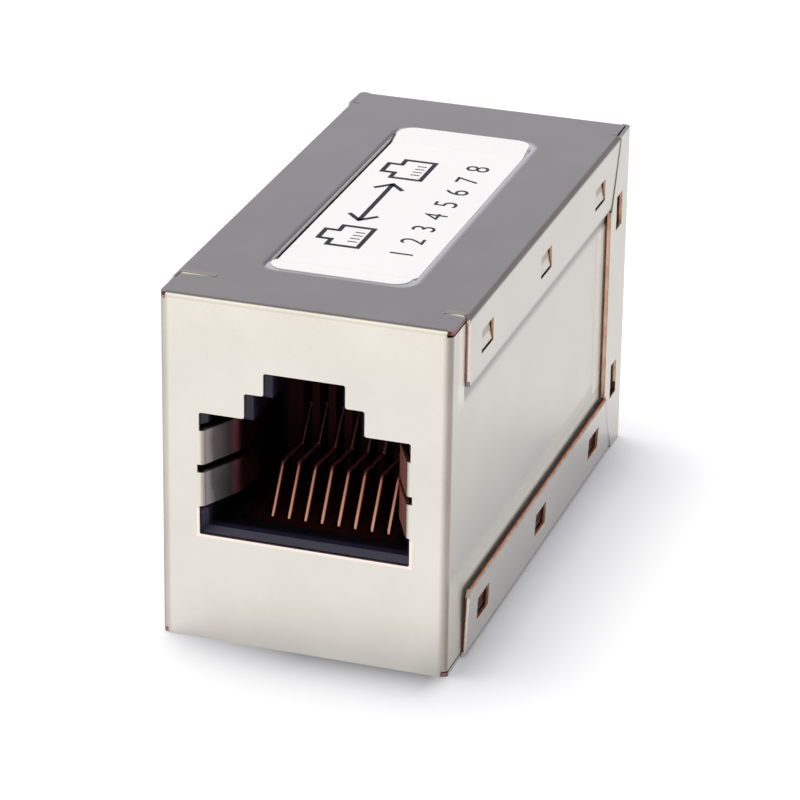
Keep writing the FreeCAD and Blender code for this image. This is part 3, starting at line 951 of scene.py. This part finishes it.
def finishPrint(name, bm):
    raised = bmesh.ops.extrude_face_region(bm, geom=bm.faces[:])
    lifted = [item for item in raised["geom"] if isinstance(item, bmesh.types.BMVert)]
    bmesh.ops.translate(bm, verts=lifted, vec=(0, 0, labelPrint["ink"]))
    bmesh.ops.recalc_face_normals(bm, faces=bm.faces[:])
    piece = addPiece(name, bm, ink)
    piece.data.transform(Matrix.Translation((0, 0, levelHeight("label"))) @ readingWay)
    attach(piece, "root")


def printSymbol():  # two sockets and a double-headed arrow between them
    bm = bmesh.new()
    half = labelPrint["rowLength"] / 2
    middle = labelPrint["bigRow"]
    low = middle - labelPrint["socketHeight"] / 2
    bold = labelPrint["bold"]
    width = labelPrint["socketWidth"]
    for left in (-half, half - width):
        addStroke(bm, socketOutline(left, low), bold, closed=True)
        for i in range(labelPrint["pins"]):
            x = left + width * (labelPrint["pinStart"] + labelPrint["pinPitch"] * i)
            addStroke(bm, [(x, low + bold), (x, low + labelPrint["pinTop"])], labelPrint["fine"])
    tip = half - width - labelPrint["arrowGap"]
    addStroke(bm, [(-tip, middle), (tip, middle)], bold)
    head = labelPrint["arrowHead"]
    for way in (-1, 1):
        barbs = [(way * (tip - head), middle + rise) for rise in (-head, head)]
        addStroke(bm, [barbs[0], (way * tip, middle), barbs[1]], bold)
    finishPrint("label_symbol", bm)


def printNumerals():
    bm = bmesh.new()
    pitch = labelPrint["rowLength"] / (labelPrint["numerals"] - 1)
    for i in range(labelPrint["numerals"]):
        text = bpy.data.curves.new("numeral", "FONT")
        text.body = str(i + 1)
        text.size = labelPrint["numeralSize"]
        text.align_x = "CENTER"
        text.align_y = "CENTER"
        holder = bpy.data.objects.new("numeral", text)
        outline = bpy.data.meshes.new_from_object(holder)
        place = (i * pitch - labelPrint["rowLength"] / 2, labelPrint["smallRow"], 0)
        outline.transform(Matrix.Translation(place))
        bm.from_mesh(outline)
        bpy.data.objects.remove(holder)
    finishPrint("label_numerals", bm)


print("label print")
ink = makeInk()
printSymbol()
printNumerals()


# Floor, light and camera

studio = {
    "floorSize": 4.0,
    "floorColour": colour(0.8, 0.8, 0.8),
    "shadeColour": colour(0.95, 0.95, 0.95),
    "glowColour": colour(0.19, 0.195, 0.215),
    # what the metal shows of the floor: brighter ahead of the left edge, dimmer to its right
    "glossColour": colour(0.275, 0.277, 0.29),
    "farColour": colour(1.42, 1.38, 1.3),
    "farStart": 36 * mm,
    "farFull": 54 * mm,
    "farShare": 0.6,
    "sideDimming": 0.2,
    "sideFrom": -3 * mm,            # from the coupler's right side
    # painted contact shadows on the floor, darkest along the foot: (share lost, reach)
    "frontContact": (0.62, 4.2 * mm),
    "frontUnder": -0.1 * mm,        # this far under the front face it ends
    "frontCorner": -1.5 * mm,       # it fades from here to the right corner
    "sideContact": (0.17, 2.2 * mm),
    "sideUnder": -1 * mm,
    "sideStart": (-1 * mm, 1 * mm),    # from the front face
    "sideEnd": (-1 * mm, -5 * mm),     # from the rear face
    "skyColour": colour(0.335, 0.34, 0.365),
    # what the metal shows: (height above the horizon, colour), behind and ahead
    "skyBehind": [(0.0, colour(0.36, 0.33, 0.34)), (0.3, colour(0.505, 0.50, 0.555)),
                  (0.352, colour(0.39, 0.39, 0.445)), (0.45, colour(0.39, 0.39, 0.455)),
                  (0.62, colour(0.29, 0.275, 0.30)), (1.0, colour(0.28, 0.27, 0.28))],
    "skyAhead": [(0.0, colour(1.12, 1.10, 1.05)), (0.6, colour(1.2, 1.18, 1.12)),
                 (0.8, colour(1.5, 1.47, 1.38)), (0.97, colour(1.4, 1.37, 1.3)),
                 (1.0, colour(0.8, 0.78, 0.75))],
    "skyTurn": (0.08, -0.25),       # how far ahead it changes from one to the other
    "keyPower": 2.7,
    "keySize": 0.39,
    "keyDistance": 0.6,
    "keyDirection": (-0.165, 0.05, 0.985),
    "keyColour": (1.0, 0.975, 0.93),
}


def mixSurfaces(finish, factor, first, second):
    return finish.node("ShaderNodeMixShader", {}, {0: factor, 1: first, 2: second})


def frontShadow(finish):
    x, y, _ = finish.axes()
    ahead = shieldLow.y - y
    loss, reach = studio["frontContact"]
    closeness = finish.between(ahead, reach, 0.0)
    beside = finish.between(x, -shieldHigh.x, 0.0)
    beside = beside * finish.between(x - shieldHigh.x, 0.0, studio["frontCorner"])
    under = finish.between(ahead, studio["frontUnder"], 0.0)
    return closeness * closeness * beside * under * loss


def sideShadow(finish):
    x, y, _ = finish.axes()
    outward = x - shieldHigh.x
    loss, reach = studio["sideContact"]
    closeness = finish.between(outward, reach, 0.0)
    beside = finish.between(y - shieldLow.y, *studio["sideStart"])
    beside = beside * finish.between(y - shieldHigh.y, *studio["sideEnd"])
    return closeness * beside * finish.between(outward, studio["sideUnder"], 0.0) * loss


def makeFloor():
    finish = newFinish("floor")
    kinds = ("Is Camera Ray", "Is Glossy Ray", "Is Transmission Ray")
    camera, glossy, through = [finish.node("ShaderNodeLightPath", {}, {}, kind) for kind in kinds]
    x, y, _ = finish.axes()
    plain = finish.node("ShaderNodeBsdfDiffuse", {}, {"Color": studio["floorColour"]})
    shade = finish.node("ShaderNodeBsdfDiffuse", {}, {"Color": studio["shadeColour"]})
    black = finish.node("ShaderNodeBsdfDiffuse", {}, {"Color": colour(0, 0, 0)})
    glow, gloss, far = [finish.node("ShaderNodeEmission", {}, {"Color": studio[name]})
                        for name in ("glowColour", "glossColour", "farColour")]
    seen = finish.node("ShaderNodeAddShader", {}, {0: shade, 1: glow})
    viewed = mixSurfaces(finish, frontShadow(finish) | sideShadow(finish), seen, black)
    bright = finish.node("ShaderNodeAddShader", {}, {0: shade, 1: gloss})
    distance = finish.between(shieldLow.y - y, studio["farStart"], studio["farFull"])
    ahead = mixSurfaces(finish, distance * studio["farShare"], bright, far)
    dimmed = mixSurfaces(finish, studio["sideDimming"], seen, black)
    beside = finish.between(x - shieldHigh.x, studio["sideFrom"], 0.0)
    mirrored = mixSurfaces(finish, glossy, plain, mixSurfaces(finish, beside, ahead, dimmed))
    mixed = mixSurfaces(finish, camera | through, mirrored, viewed)
    finish.node("ShaderNodeOutputMaterial", {}, {"Surface": mixed})
    bm = bmesh.new()
    bmesh.ops.create_grid(bm, x_segments=1, y_segments=1, size=studio["floorSize"] / 2)
    floor = addPiece("floor", bm, finish.owner)
    floor.location.z = shieldLow.z


def makeSky():
    world = bpy.data.worlds.new("sky")
    bpy.context.scene.world = world
    finish = Finish(world)
    kinds = ("Is Camera Ray", "Is Glossy Ray", "Diffuse Depth")
    camera, glossy, bounces = [finish.node("ShaderNodeLightPath", {}, {}, kind) for kind in kinds]
    along, up = finish.axes("Generated")[1:]
    behind, ahead = [finish.node("ShaderNodeValToRGB", {"stops": studio[side]}, {"Fac": up})
                     for side in ("skyBehind", "skyAhead")]
    seen = finish.blend(finish.between(along, *studio["skyTurn"]), behind, ahead)
    room = finish.node("ShaderNodeBackground", {}, {"Color": studio["skyColour"]})
    gloss = finish.node("ShaderNodeBackground", {}, {"Color": seen})
    white = finish.node("ShaderNodeBackground", {}, {"Color": colour(1, 1, 1)})
    lit = mixSurfaces(finish, glossy - bounces, room, gloss)
    mixed = mixSurfaces(finish, camera, lit, white)
    finish.node("ShaderNodeOutputWorld", {}, {"Surface": mixed})


def makeKey():
    light = bpy.data.lights.new("key", "AREA")
    light.shape = "DISK"
    light.size = studio["keySize"]
    light.energy = studio["keyPower"]
    light.color = studio["keyColour"]
    lamp = bpy.data.objects.new("key", light)
    lamp.visible_glossy = False
    direction = Vector(studio["keyDirection"]).normalized()
    lamp.location = direction * studio["keyDistance"]
    lamp.rotation_euler = direction.to_track_quat("Z", "Y").to_euler()
    bpy.context.scene.collection.objects.link(lamp)


cameraSetup = {
    "azimuth": 18.056,
    "elevation": 23.921,
    "roll": 0.813,
    "distance": 217.06 * mm,
    "aim": (5.63 * mm, 0.0, 16.83 * mm),  # from the foot of the front face
    "lens": 176.78,
    "nearest": 1 * mm,
}


def makeCamera():
    azimuth = math.radians(cameraSetup["azimuth"])
    elevation = math.radians(cameraSetup["elevation"])
    back = Vector((math.sin(azimuth) * math.cos(elevation),
                   -math.cos(azimuth) * math.cos(elevation),
                   math.sin(elevation)))
    aim = Vector((0, shieldLow.y, shieldLow.z)) + Vector(cameraSetup["aim"])
    lens = bpy.data.cameras.new("camera")
    lens.lens = cameraSetup["lens"]
    lens.clip_start = cameraSetup["nearest"]
    camera = bpy.data.objects.new("camera", lens)
    roll = Matrix.Rotation(math.radians(cameraSetup["roll"]), 3, "Z")
    turned = back.to_track_quat("Z", "Y").to_matrix() @ roll
    place = Matrix.Translation(aim + back * cameraSetup["distance"])
    camera.matrix_world = place @ turned.to_4x4()
    bpy.context.scene.collection.objects.link(camera)
    bpy.context.scene.camera = camera


print("studio")
makeFloor()
makeSky()
makeKey()
makeCamera()
bpy.context.scene.view_settings.view_transform = "Standard"
